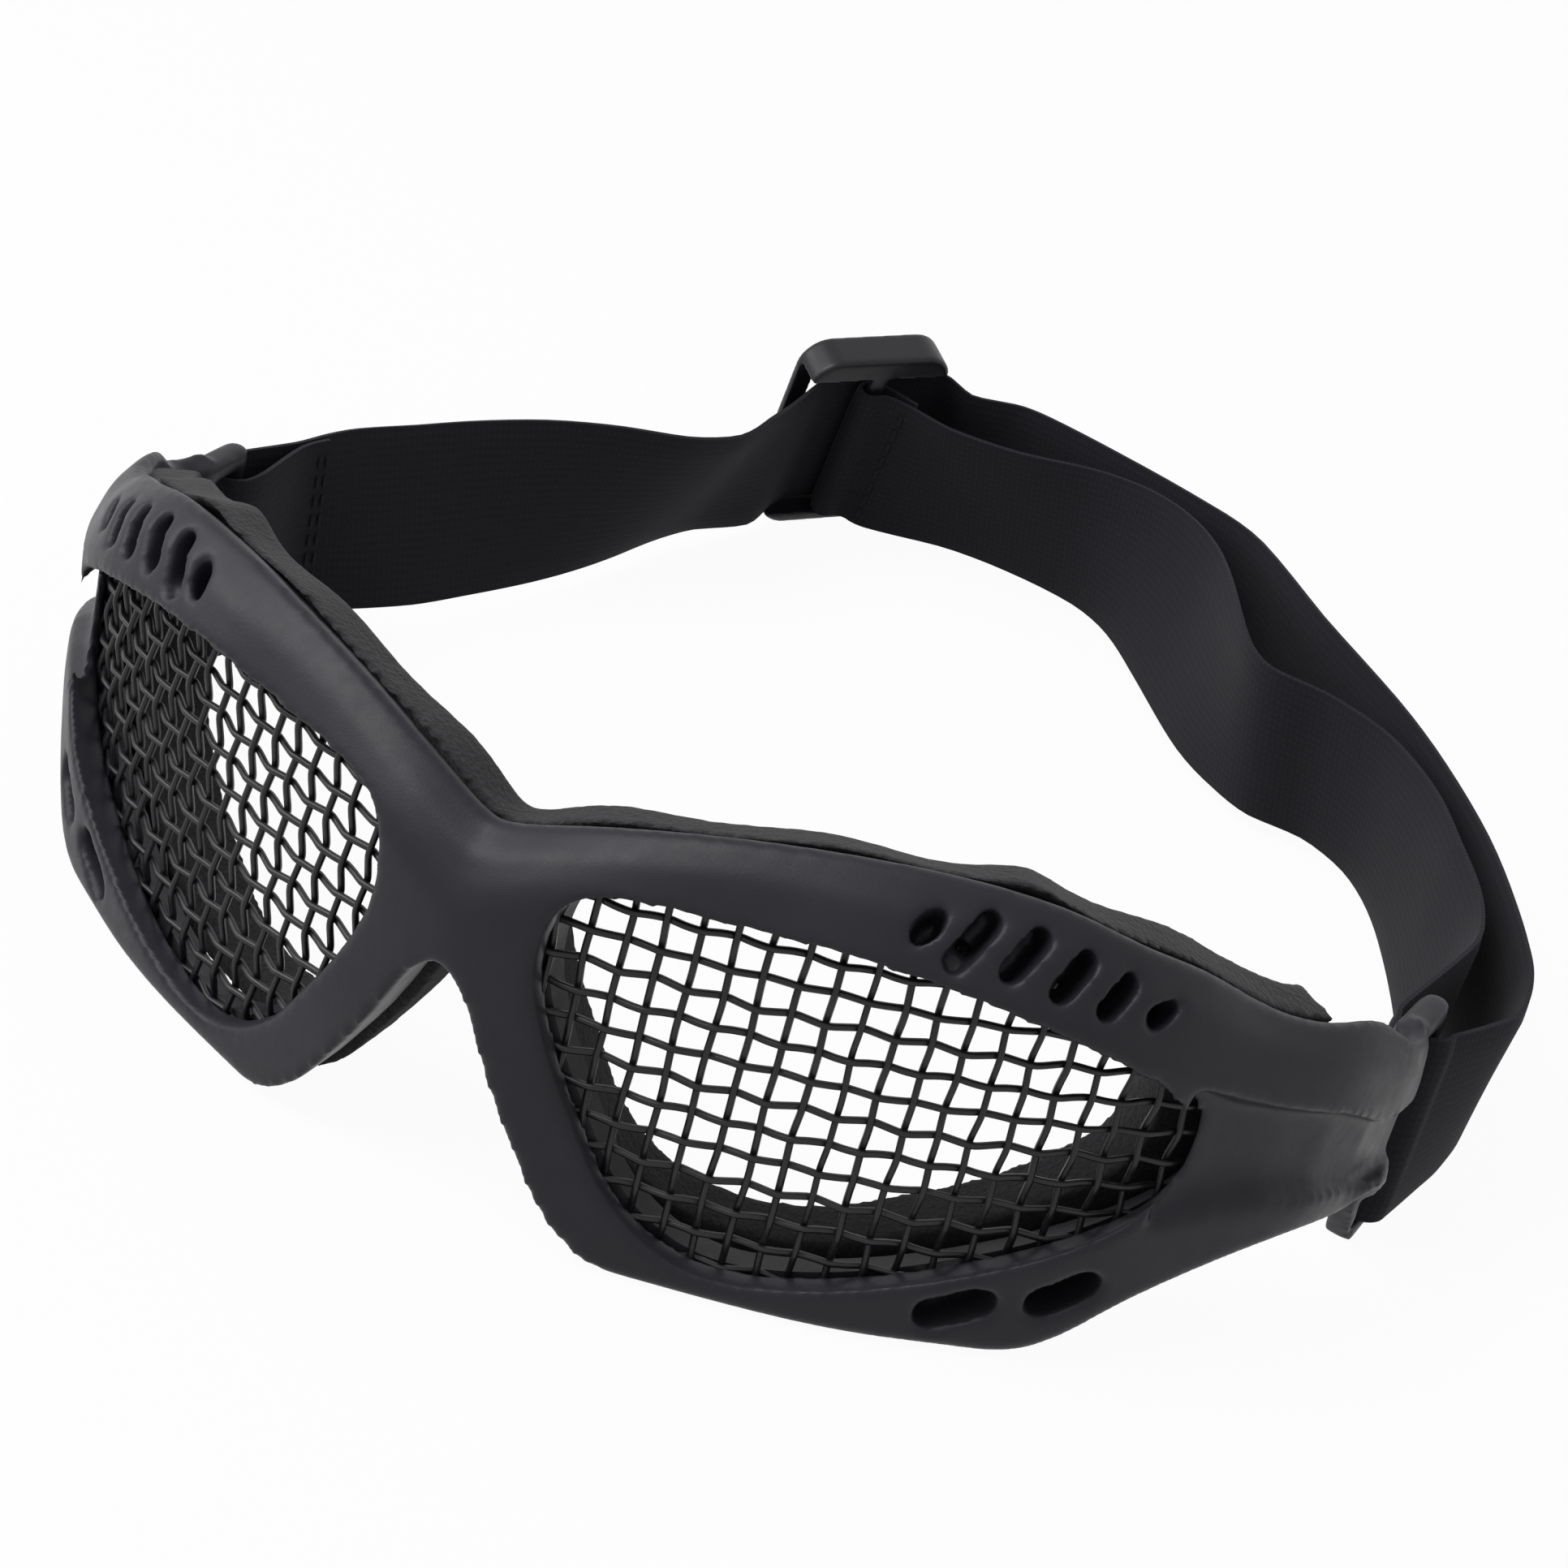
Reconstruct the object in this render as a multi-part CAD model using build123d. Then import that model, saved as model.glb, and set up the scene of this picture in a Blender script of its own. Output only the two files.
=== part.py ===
from build123d import *
from math import atan2, cos, degrees, hypot, radians, sin, sqrt, tan
import os

# Overall sizes in mm: +X to the wearer's left, Y from the nose (minus) to the back of the head, Z up
half_width = 88.0
frame_reach = 80.5
frame_height = 56.2
loop_reach = 131.0

# Front frame
skin = 2.3
edge_round = 1.1
lip_round = 0.9
brow_round = 5.0
bottom_round = 1.6
overrun = 5.0
recess_depth = 2.5

# Mesh screens and the rings that hold them
wire = 0.6
mesh_pitch = 3.65
mesh_gap = 2.9
mesh_capture = 1.8
screen_clear = 0.15
ring_depth = 2.8
ring_step = 1.5

# Foam
foam_depth = 8.0
foam_belly = 15.8
foam_clear = 0.4
foam_inset = 0.8
foam_eye_grow = 0.2

# Vents
brow_vent_width = 2.5
rim_vent_width = 4.2
rim_vent_depth = 9.0
brow_vent_depth = 5.0

# Strap bars and their arms
bar_radius = 1.6
arm_radius = 1.8
arm_height = 2.0
bar_x = 85.3
bar_root_back = 8.0
# Side view of the strut below the strap, as shares of bar_root_back forward and frame_height up
strut_shares = [(0.60, 0.0), (1.20, 0.150), (1.20, 0.215), (0.97, 0.215)]
strut_neck_share = 0.09

# Strap
strap_width = 26.4
strap_thick = 1.2
edge_clear = 0.45
wrap_clear = 1.2
layer_clear = 0.3
bar_clear = 0.3
stitch_proud = 0.2
stitch_clear = 0.1
stitch_thread = 0.5
stitch_length = 1.7
stitch_count = 8
seam_shares = (0.1, 0.7)

# Slider
slider_length = 24.5
slider_height = 35.0
slider_corner = 5.0
slider_bar_thick = 1.5
slider_rim_thick = 1.6
slider_bar_length = 3.0
slider_bar_round = 0.6
slider_rim_length = 3.2
slider_top_rail = 3.9
slider_bottom_rail = 2.0
slider_edge_round = 0.7
slider_clear = 0.3

# The frame's stations, from the nose to the temple end. Each row gives shares of the sizes:
# x of half_width, y of frame_reach, then heights of frame_height: bottom, lip and top
station_shares = [
    (0.000, 1.000, 0.000, 0.700, 0.827),
    (0.091, 0.984, 0.000, 0.765, 0.865),
    (0.205, 0.948, 0.000, 0.804, 0.922),
    (0.341, 0.892, 0.000, 0.827, 0.972),
    (0.455, 0.839, 0.000, 0.840, 0.995),
    (0.557, 0.783, 0.000, 0.824, 1.000),
    (0.659, 0.714, 0.004, 0.797, 0.970),
    (0.733, 0.658, 0.022, 0.747, 0.920),
    (0.807, 0.590, 0.125, 0.685, 0.863),
    (0.858, 0.534, 0.187, 0.640, 0.806),
    (0.920, 0.453, 0.244, 0.587, 0.745),
    (0.966, 0.354, 0.255, 0.540, 0.712),
    (0.989, 0.248, 0.232, 0.500, 0.676),
    (1.000, 0.088, 0.142, 0.440, 0.600),
]
# How far the bottom edge and the lip stand forward, the top edge is set back and the rear face lies
# behind, of skin; how round the lip is, of lip_round; the top face falls to the rear by the slope
flare_shares = [0, 0, 0.10, 0.30, 0.45, 0.50, 0.55, 0.60, 0.45, 0.25, 0.10, 0, 0, 0]
lip_forward_shares = [0.30, 0.40, 0.45, 0.75, 1.35, 1.45, 1.70, 1.45, 0.85, 0.45, 0.10, 0, 0, 0]
top_back_shares = [2.60, 2.40, 2.10, 1.65, 1.40, 1.10, 1.00, 1.20, 1.70, 2.15, 2.25, 1.85, 1.30, 1.10]
rear_shares = [3.30, 3.30, 3.30, 3.30, 3.30, 3.30, 3.30, 3.30, 3.15, 3.05, 3.00, 2.60, 2.05, 1.90]
lip_round_shares = [9.0, 9.0, 8.0, 7.0, 6.0, 5.0, 4.0, 3.5, 3.0, 2.5, 2.0, 1.5, 1.0, 1.0]
top_slope = 0.75
# How far the foam's rear top edge rises, of foam_depth
foam_rise_shares = [0, 0, -0.06, -0.12, -0.15, -0.12, -0.04, 0.06, 0.15, 0.20, 0.25, 0.25, 0.25, 0.25]

# Outline of the opening at plus X seen from the front, as shares of half_width and frame_height
opening_shares = [
    (0.114, 0.600), (0.116, 0.705), (0.137, 0.775), (0.175, 0.803), (0.284, 0.822), (0.400, 0.836),
    (0.500, 0.834), (0.600, 0.805), (0.690, 0.762), (0.752, 0.712), (0.800, 0.645), (0.823, 0.560),
    (0.822, 0.450), (0.803, 0.362), (0.758, 0.290), (0.676, 0.208), (0.575, 0.132), (0.500, 0.090),
    (0.420, 0.062), (0.357, 0.064), (0.313, 0.090), (0.269, 0.140), (0.234, 0.203), (0.201, 0.290),
    (0.165, 0.390), (0.134, 0.495),
]
# Nose notch from the bottom up to its crown, as shares of half_width and frame_height
notch_shares = [(0.280, 0.000), (0.220, 0.040), (0.178, 0.105), (0.143, 0.190), (0.107, 0.285),
                (0.076, 0.380), (0.053, 0.460), (0.030, 0.520)]
notch_crown_share = 0.552

# Brow vents: low end, then high end, as shares of half_width, frame_reach and frame_height
brow_vent_shares = [
    ((0.503, 0.853, 0.907), (0.519, 0.800, 0.956)),
    ((0.549, 0.833, 0.862), (0.569, 0.769, 0.963)),
    ((0.607, 0.796, 0.863), (0.623, 0.737, 0.948)),
    ((0.660, 0.760, 0.835), (0.673, 0.703, 0.918)),
    ((0.710, 0.722, 0.810), (0.724, 0.670, 0.884)),
    ((0.751, 0.696, 0.797), (0.773, 0.615, 0.831)),
]
# How deep each brow vent is, of brow_vent_depth: the second stays clear of the opening
brow_vent_depth_shares = [1, 0.4, 0.9, 1, 1, 1]
# Lower vents: inner end, then outer end
rim_vent_shares = [
    ((0.618, 0.764, 0.068), (0.686, 0.699, 0.142)),
    ((0.723, 0.681, 0.126), (0.786, 0.621, 0.206)),
]
# Recessed temple panel: station number, low and high edge as shares of frame_height, depth of recess_depth
recess_shares = [(8, 0.335, 0.665, 0.02), (9, 0.375, 0.618, 0.60), (10, 0.378, 0.575, 1.0),
                 (11, 0.345, 0.535, 0.85), (12, 0.300, 0.460, 0.50), (13, 0.260, 0.400, 0.35)]

# The strap's route, as shares of half_width and loop_reach: top edge x, y, then bottom edge x, y
run_left_shares = [
    (-0.9650, 0.105, -0.9620, 0.105), (-0.9550, 0.145, -0.9400, 0.145),
    (-0.9400, 0.200, -0.8900, 0.192), (-0.8950, 0.265, -0.8350, 0.255),
    (-0.8450, 0.325, -0.8000, 0.318), (-0.7690, 0.397, -0.7600, 0.399), (-0.6800, 0.467, -0.7300, 0.481),
    (-0.6080, 0.533, -0.7120, 0.560), (-0.5660, 0.611, -0.7010, 0.630), (-0.5620, 0.675, -0.6760, 0.705),
]
run_right_shares = [
    (-0.3650, 0.950, -0.4250, 0.984), (-0.2900, 0.966, -0.3250, 0.992), (-0.2200, 0.966, -0.2150, 0.988),
    (-0.0670, 0.945, -0.0620, 0.964), (0.1310, 0.906, 0.1310, 0.913), (0.2560, 0.862, 0.2560, 0.866),
    (0.4360, 0.735, 0.4380, 0.738), (0.6280, 0.610, 0.6340, 0.618), (0.7560, 0.510, 0.7640, 0.518),
    (0.8780, 0.394, 0.8840, 0.398), (0.9640, 0.290, 0.9640, 0.290), (1.0160, 0.217, 1.0120, 0.217),
    (1.0440, 0.169, 1.0310, 0.169), (1.0600, 0.116, 1.0320, 0.116), (1.0560, 0.074, 1.0240, 0.074),
]
return_shares = [
    (-0.3400, 0.856, -0.3450, 0.940), (-0.2050, 0.870, -0.2100, 0.952),
    (-0.0800, 0.886, -0.0680, 0.940), (0.0340, 0.880, 0.0290, 0.900), (0.1360, 0.850, 0.1150, 0.835),
    (0.2170, 0.795, 0.2000, 0.765), (0.2910, 0.708, 0.2900, 0.695), (0.3700, 0.612, 0.3850, 0.645),
    (0.4350, 0.572, 0.4640, 0.620), (0.5300, 0.570, 0.5560, 0.622), (0.6400, 0.540, 0.6480, 0.590),
    (0.7170, 0.492, 0.7220, 0.530), (0.7870, 0.432, 0.7830, 0.456), (0.8500, 0.360, 0.8400, 0.374),
    (0.9100, 0.290, 0.8850, 0.300), (0.9480, 0.222, 0.9280, 0.222), (0.9560, 0.160, 0.9480, 0.155),
]
# The origin lies on the ground below the middle of the whole: shares of half_width and loop_reach from
# the middle between the strap bars, from which all the routes above and below are given
origin_shares = (0.0284, 0.1885)

# Slider place and attitude
slider_place_shares = (-0.509, 0.865, 0.310)
slider_heading = 54.0
slider_climb = 4.6
slider_lean = 18.4


def ahead(x_share, y_share):
    """A point in plan on the frame, x across and y forward of the bars."""
    return Vector(x_share * half_width, -y_share * frame_reach, 0)


def stations():
    """Plan place and inward direction at each station, from the end at minus X to the end at plus X."""
    right = [ahead(row[0], row[1]) for row in station_shares]
    places = [Vector(-p.X, p.Y, 0) for p in reversed(right[1:])] + right
    rows = []
    for i, place in enumerate(places):
        before = places[max(i - 1, 0)]
        after = places[min(i + 1, len(places) - 1)]
        along = (after - before).normalized()
        rows.append((place, Vector(-along.Y, along.X, 0)))
    return rows


def mirrored(values):
    """The values of the half at plus X, given for the whole frame."""
    return list(reversed(values[1:])) + list(values)


rows = stations()
bottoms = [v * frame_height for v in mirrored([row[2] for row in station_shares])]
lips = [v * frame_height for v in mirrored([row[3] for row in station_shares])]
tops = [v * frame_height for v in mirrored([row[4] for row in station_shares])]
forwards = [v * skin for v in mirrored(lip_forward_shares)]
backs = [v * skin for v in mirrored(top_back_shares)]
rears = [v * skin for v in mirrored(rear_shares)]
flares = [v * skin for v in mirrored(flare_shares)]
lip_rounds = [v * lip_round for v in mirrored(lip_round_shares)]
rises = [v * foam_depth for v in mirrored(foam_rise_shares)]
count = len(rows)
middle = count // 2


def flat_section(place, inward, points, radii):
    """A face in the upright plane at a station, from points given as (inward, height) and corner radii."""
    plane = Plane(origin=place, x_dir=inward, z_dir=inward.cross(Vector(0, 0, 1)))
    corners = [Vector(*p) for p in points]
    total = len(corners)
    starts, ends = [], []
    with BuildSketch(plane) as sketch:
        with BuildLine():
            for i, corner in enumerate(corners):
                back = corners[i - 1] - corner
                ahead_way = corners[(i + 1) % total] - corner
                half = radians(back.get_angle(ahead_way)) / 2
                reach = min(radii[i] / tan(half), back.length * 0.45, ahead_way.length * 0.45)
                radius = reach * tan(half)
                start = corner + back.normalized() * reach
                end = corner + ahead_way.normalized() * reach
                starts.append(start)
                ends.append(end)
                if radius > 0:
                    bisector = (back.normalized() + ahead_way.normalized()).normalized()
                    ThreePointArc(start, corner + bisector * (radius / sin(half) - radius), end)
            for i in range(total):
                Line(ends[i - 1], starts[i])
        make_face()
    return sketch.sketch.faces()[0]


def frame_section(i):
    """Cross-section of the front frame at station i."""
    place, inward = rows[i]
    rise = tops[i] - lips[i]
    half = (backs[i] - forwards[i]) / 2
    points = [
        (-flares[i], bottoms[i]),
        (-forwards[i], lips[i]),
        (half - rise / 14, lips[i] + rise * 0.62),
        (backs[i], tops[i]),
        (rears[i], tops[i] - (rears[i] - backs[i]) * top_slope),
        (rears[i], bottoms[i]),
    ]
    radii = [bottom_round, lip_rounds[i], brow_round, edge_round, 0, 0]
    return flat_section(place, inward, points, radii)


def foam_section(i):
    """Cross-section of the face foam behind the frame at station i."""
    place, inward = rows[i]
    seat = tops[i] - (rears[i] - backs[i]) * top_slope
    top = tops[i] - foam_inset
    lower = bottoms[i] + foam_inset
    span = top - lower
    back = (backs[i - 1] + backs[i] + backs[i + 1]) / 3 + foam_depth
    belly = max(foam_belly - (rears[middle] - rears[i]), back)
    points = [
        (backs[i] + foam_clear + foam_inset / top_slope, top),
        (back - foam_clear, top + rises[i] - foam_inset),
        (back + foam_clear, top + rises[i] - foam_depth / 4),
        (belly, lower + span / 3),
        (belly - foam_clear, lower),
        (rears[i] + foam_clear, lower),
        (rears[i] + foam_clear, seat),
    ]
    radii = [0, foam_inset, 0, foam_belly, foam_inset, 0, 0]
    return flat_section(place, inward, points, radii)


def grown_outline(shares, grow):
    """Points of a closed outline in the front view, moved outwards by the given amount."""
    points = [Vector(x * half_width, z * frame_height) for x, z in shares]
    grown = []
    for i, point in enumerate(points):
        along = (points[(i + 1) % len(points)] - points[i - 1]).normalized()
        grown.append(point + Vector(-along.Y, along.X) * grow)
    return grown


def closed_face(points, plane):
    """A face inside a smooth closed curve."""
    with BuildSketch(plane) as sketch:
        with BuildLine():
            Spline(*points, periodic=True)
        make_face()
    return sketch.sketch


def outline_face(shares, grow):
    """A closed smooth outline in the front view, grown outwards by the given amount."""
    return closed_face(grown_outline(shares, grow), Plane.XZ)


def eye_prism(grow):
    """The outline of the opening at plus X carried straight through, front to back."""
    return extrude(outline_face(opening_shares, grow), amount=2 * frame_reach, both=True)


def plan_strip(front, back):
    """An upright sheet that follows the frame's plan curve, between two inward distances."""
    outer = [place + inward * front for place, inward in rows[middle:]]
    inner = [place + inward * back for place, inward in rows[middle:]]
    outer = [Vector(-p.X, p.Y, 0) for p in (outer[1],)] + outer
    inner = [Vector(-p.X, p.Y, 0) for p in (inner[1],)] + inner
    with BuildSketch(Plane.XY) as sketch:
        with BuildLine():
            Spline(*outer)
            Line(outer[-1], inner[-1])
            Spline(*reversed(inner))
            Line(inner[0], outer[0])
        make_face()
    return extrude(sketch.sketch, amount=frame_height)


def notch_prism(shrink):
    """The nose notch, open at the bottom, made smaller on each side by shrink."""
    side = [(x * half_width - shrink, z * frame_height - shrink) for x, z in notch_shares]
    crown = (0, notch_crown_share * frame_height - shrink)
    curve = side + [crown] + [(-x, z) for x, z in reversed(side)]
    low = -overrun
    with BuildSketch(Plane.XZ) as sketch:
        with BuildLine():
            Spline(*curve)
            Polyline(curve[-1], (curve[-1][0], low), (curve[0][0], low), curve[0])
        make_face()
    return extrude(sketch.sketch, amount=2 * frame_reach, both=True)


def spot(shares):
    """A point on the frame from shares of the three sizes."""
    return Vector(shares[0] * half_width, -shares[1] * frame_reach, shares[2] * frame_height)


def slot_cutter(low, high, across, width, depth, lens=False):
    """A slot between two points, cut inwards at right angles to its length and to across."""
    start, end = spot(low), spot(high)
    along = (end - start).normalized()
    inward = across.cross(along).normalized()
    centre = (start + end) * 0.5
    length = (end - start).length
    plane = Plane(origin=centre - inward * overrun, x_dir=along, z_dir=inward)
    with BuildSketch(plane) as sketch:
        if lens:
            with BuildLine():
                ThreePointArc((-length / 2, 0), (0, width / 2), (length / 2, 0))
                ThreePointArc((length / 2, 0), (0, -width / 2), (-length / 2, 0))
            make_face()
        else:
            SlotOverall(length, width)
    return extrude(sketch.sketch, amount=overrun + depth)


def vent_cutters():
    """All the vents on the plus X side."""
    cutters = []
    last = len(brow_vent_shares) - 1
    for i, (low, high) in enumerate(brow_vent_shares):
        near = brow_vent_shares[max(i - 1, 0)][1]
        far = brow_vent_shares[min(i + 1, last)][1]
        across = (spot(far) - spot(near)).normalized()
        depth = brow_vent_depth * brow_vent_depth_shares[i]
        cutters.append(slot_cutter(low, high, across, brow_vent_width, depth, i in (0, last)))
    for low, high in rim_vent_shares:
        cutters.append(slot_cutter(low, high, Vector(0, 0, -1), rim_vent_width, rim_vent_depth))
    return cutters


def recess_cutter():
    """The shallow panel on the temple at plus X, cut from outside."""
    faces = []
    for i, low, high, share in recess_shares:
        place, inward = rows[middle + i]
        deep = recess_depth * share
        points = [(-overrun, low * frame_height), (-overrun, high * frame_height),
                  (deep, high * frame_height), (deep, low * frame_height)]
        faces.append(flat_section(place, inward, points, [0, 0, 0, 0]))
    tail = rows[middle + recess_shares[-1][0]][0] - rows[middle + recess_shares[-2][0]][0]
    faces.append(faces[-1].moved(Location(tail.normalized() * overrun)))
    return loft(faces, ruled=True)


strap_low = arm_height + edge_clear
strap_top = strap_low + strap_width
arm_low = strap_top + edge_clear
bar_top = arm_low + arm_height + arm_radius / 2


def strap_bar():
    """The strap bar at plus X with its upper arm and the strut from its foot to the temple."""
    root = Vector(bar_x - arm_radius / 3, -bar_root_back, 0)
    tip = Vector(bar_x, 0, 0)
    run = tip - root
    mid = (root + tip) * 0.5
    turn = degrees(atan2(run.Y, run.X))
    slot = Location(mid) * Rotation(0, 0, turn) * SlotCenterToCenter(run.length, 2 * arm_radius)
    high_arm = extrude(Location((0, 0, arm_low)) * slot, amount=arm_height + arm_radius / 2)
    bar = Location(tip) * extrude(Circle(bar_radius), amount=bar_top)
    foot = Location(tip) * extrude(Circle(arm_radius), amount=arm_height)
    root_low = strut_shares[1][1] * frame_height
    post = Location(root + Vector(0, 0, root_low)) * extrude(Circle(arm_radius), amount=bar_top - root_low)
    high_arm = fillet(high_arm.edges().group_by(Axis.Z)[-1], arm_radius / 2.5)
    forward = (root - tip).normalized()
    side = Plane(origin=tip, x_dir=forward, z_dir=forward.cross(Vector(0, 0, 1)))
    neck = wrap + strap_thick / 2 + 2.6 * edge_clear
    points = [(0, 0)] + [(u * bar_root_back, z * frame_height) for u, z in strut_shares]
    points += [(neck, strut_neck_share * frame_height), (neck, arm_height), (0, arm_height)]
    strut = extrude(side * make_face(Polyline(*points, close=True)), amount=arm_radius, both=True)
    return high_arm + bar + post + foot + strut


def front_frame():
    """The one-piece moulded frame, made as its plus X half and mirrored."""
    keep = Location((half_width, 0, 0)) * Box(2 * half_width, 4 * frame_reach, 4 * frame_height)
    body = (loft([frame_section(i) for i in range(middle - 2, count)]) & keep) + strap_bar()
    cavity = eye_prism(mesh_capture) & plan_strip(skin, foam_belly + overrun)
    for tool in [eye_prism(0), cavity, recess_cutter()] + vent_cutters() + [notch_prism(0)]:
        body = body - tool
    return body + mirror(body, about=Plane.YZ)


def mesh_screen():
    """The net at plus X: a bent sheet with square gaps."""
    face = outline_face(opening_shares, mesh_capture - screen_clear)
    box = face.bounding_box()
    gap_area = mesh_gap * mesh_gap
    inner = outline_face(opening_shares, mesh_capture - screen_clear - wire)
    holes = []
    across = int(box.size.X / mesh_pitch) + 2
    up = int(box.size.Z / mesh_pitch) + 2
    for i in range(across):
        for k in range(up):
            x = box.min.X + (i - 0.35) * mesh_pitch
            z = box.min.Z + (k - 0.35) * mesh_pitch
            hole = Plane.XZ * Location((x, z)) * Rectangle(mesh_gap, mesh_gap)
            part = hole & inner
            if part is not None and part.area > gap_area / 3:
                holes.append(part)
    for hole in holes:
        face = face - hole
    sheet = extrude(face, amount=2 * frame_reach, both=True)
    net = sheet & plan_strip(skin + screen_clear, skin + screen_clear + wire)
    print("gaps in each net:", len(holes))
    return net


def screen_ring():
    """The ring at plus X that holds the net against the frame."""
    front = skin + 2 * screen_clear + wire
    outer = eye_prism(mesh_capture - screen_clear)
    inner = eye_prism(mesh_capture - screen_clear - ring_step)
    return (outer - inner) & plan_strip(front, front + ring_depth)


def plan_at(x):
    """Place and slope of the frame's plan curve on the plus X side."""
    for (near, near_in), (far, far_in) in zip(rows[middle:], rows[middle + 1:]):
        if x <= far.X:
            share = (x - near.X) / (far.X - near.X)
            slopes = (-near_in.X / near_in.Y, -far_in.X / far_in.Y)
            return near.Y * (1 - share) + far.Y * share, slopes[0] * (1 - share) + slopes[1] * share


def foam_eye():
    """The foam's opening at plus X, which runs inwards at right angles to the frame's plan curve."""
    faces = []
    for level in (-frame_reach * 1.15, -frame_reach * 0.3):
        points = []
        for point in grown_outline(opening_shares, foam_eye_grow):
            y, slope = plan_at(point.X)
            points.append(Vector(point.X - slope * (level - y), point.Y))
        faces.append(closed_face(points, Plane(origin=(0, level, 0), x_dir=(1, 0, 0), z_dir=(0, -1, 0))))
    return loft(faces, ruled=True)


def face_foam():
    """The foam strip round both eyes, glued to the frame's rear edge."""
    last = middle + 11
    first = middle - 11
    body = loft([foam_section(i) for i in range(first, last + 1)])
    eye = foam_eye()
    body = body - eye - mirror(eye, about=Plane.YZ)
    return body - notch_prism(foam_inset)


def slider_axes():
    """Place and directions of the slider: along the strap, up the strap, and outwards."""
    place = Vector(slider_place_shares[0] * half_width, slider_place_shares[1] * loop_reach,
                   slider_place_shares[2] * frame_height)
    head, climb, lean = radians(slider_heading), radians(slider_climb), radians(slider_lean)
    along = Vector(cos(head) * cos(climb), sin(head) * cos(climb), sin(climb))
    rise = Vector(sin(head) * sin(lean), -cos(head) * sin(lean), cos(lean))
    out = rise.cross(along).normalized()
    up = along.cross(out).normalized()
    return place, along, up, out


place_s, along_s, up_s, out_s = slider_axes()
bar_out = slider_bar_thick
leg_mid = bar_out + slider_clear + strap_thick / 2
run_mid = leg_mid + strap_thick + slider_clear
rim_out = run_mid + strap_thick / 2 + slider_clear
slider_thick = rim_out + slider_rim_thick
return_mid = -slider_clear - strap_thick / 2


def at_slider(along, up, out):
    """A point from distances along, up and outwards at the slider."""
    return place_s + along_s * along + up_s * up + out_s * out


def strap_section(top, bottom, heading):
    """The strap's cross-section between its top and bottom edge points."""
    up = (top - bottom).normalized()
    centre = (top + bottom) * 0.5
    normal = heading - up * heading.dot(up)
    plane = Plane(origin=centre, x_dir=up, z_dir=normal.normalized())
    return (plane * Rectangle(strap_width, strap_thick)).faces()[0]


def refined(edges):
    """The pairs of edge points with a smooth extra pair between each two."""
    result = []
    last = len(edges) - 1
    for i in range(last):
        result.append(edges[i])
        outer = zip(edges[max(i - 1, 0)], edges[min(i + 2, last)])
        inner = zip(edges[i], edges[i + 1])
        result.append(tuple((p + q) * 0.5625 - (a + b) * 0.0625 for (p, q), (a, b) in zip(inner, outer)))
    return result + [edges[last]]


def ribbon(edges):
    """A strap solid through pairs of top and bottom edge points."""
    faces = []
    edges = refined(edges)
    mids = [(top + bottom) * 0.5 for top, bottom in edges]
    for i, (top, bottom) in enumerate(edges):
        heading = mids[min(i + 1, len(mids) - 1)] - mids[max(i - 1, 0)]
        faces.append(strap_section(top, bottom, heading.normalized()))
    return loft(faces, ruled=True)


def upright(x, y):
    """A pair of edge points of a strap that stands upright."""
    return Vector(x, y, strap_top), Vector(x, y, strap_low)


def leaning(row):
    """A pair of edge points from shares, brought to the strap's own width."""
    top = Vector(row[0] * half_width, row[1] * loop_reach, strap_top)
    bottom = Vector(row[2] * half_width, row[3] * loop_reach, strap_low)
    flat = hypot(top.X - bottom.X, top.Y - bottom.Y)
    height = sqrt(strap_width * strap_width - flat * flat)
    return Vector(top.X, top.Y, strap_low + height), bottom


def slider_pair(along, out):
    """Edge points of a strap layer inside the slider, low in its slots."""
    low = slider_bottom_rail + edge_clear / 2 - slider_height / 2
    return at_slider(along, low + strap_width, out), at_slider(along, low, out)


def shifted(pair, move):
    """The same pair of edge points moved by a vector."""
    return pair[0] + move, pair[1] + move


wrap = bar_radius + wrap_clear + strap_thick / 2


def bar_wrap(side, start, stop, steps):
    """Upright pairs round a bar, by angles in degrees from straight back, turning forwards."""
    pairs = []
    for k in range(steps + 1):
        angle = radians(start + (stop - start) * k / steps)
        pairs.append(upright(side * bar_x + wrap * sin(angle), wrap * cos(angle)))
    return pairs


layer_step = strap_thick + layer_clear / 3
tail_side = Vector(layer_step, 0, 0)


def main_pairs():
    """Edge points from the sewn loop on the bar at minus X, through the slider, to the bar at plus X."""
    left = [leaning(row) for row in run_left_shares]
    tail = [shifted(left[1], tail_side), shifted(left[0], tail_side), upright(-bar_x + wrap * 0.97, wrap * 0.9)]
    wrapped = bar_wrap(-1, 100, 260, 8)
    lead = [upright(-bar_x - wrap * 0.9, wrap)]
    half = slider_length / 2
    inner = return_mid - strap_thick / 2
    path = [(-1.25, inner), (-0.85, run_mid * 0.45), (-0.55, run_mid * 0.95), (-0.2, run_mid), (0.2, run_mid),
            (0.6, run_mid), (1.1, run_mid * 0.8)]
    through = [slider_pair(a * half, out) for a, out in path]
    right = [leaning(row) for row in run_right_shares]
    end = upright(bar_x + wrap + bar_clear, 3 * bar_clear)
    return tail + wrapped + lead + left + through + right + [end]


def strap_main():
    """The webbing that goes round the back of the head."""
    return ribbon(main_pairs())


def return_pairs():
    """The return layer between the bar at plus X and the slider."""
    return [leaning(row) for row in reversed(return_shares)]


def return_exit():
    """The pair where the return layer leaves the slider's middle bar."""
    return slider_pair(slider_bar_length * 1.67, return_mid * 4.5)


tail_lift = (along_s + out_s) * (layer_step / sqrt(2))


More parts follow.
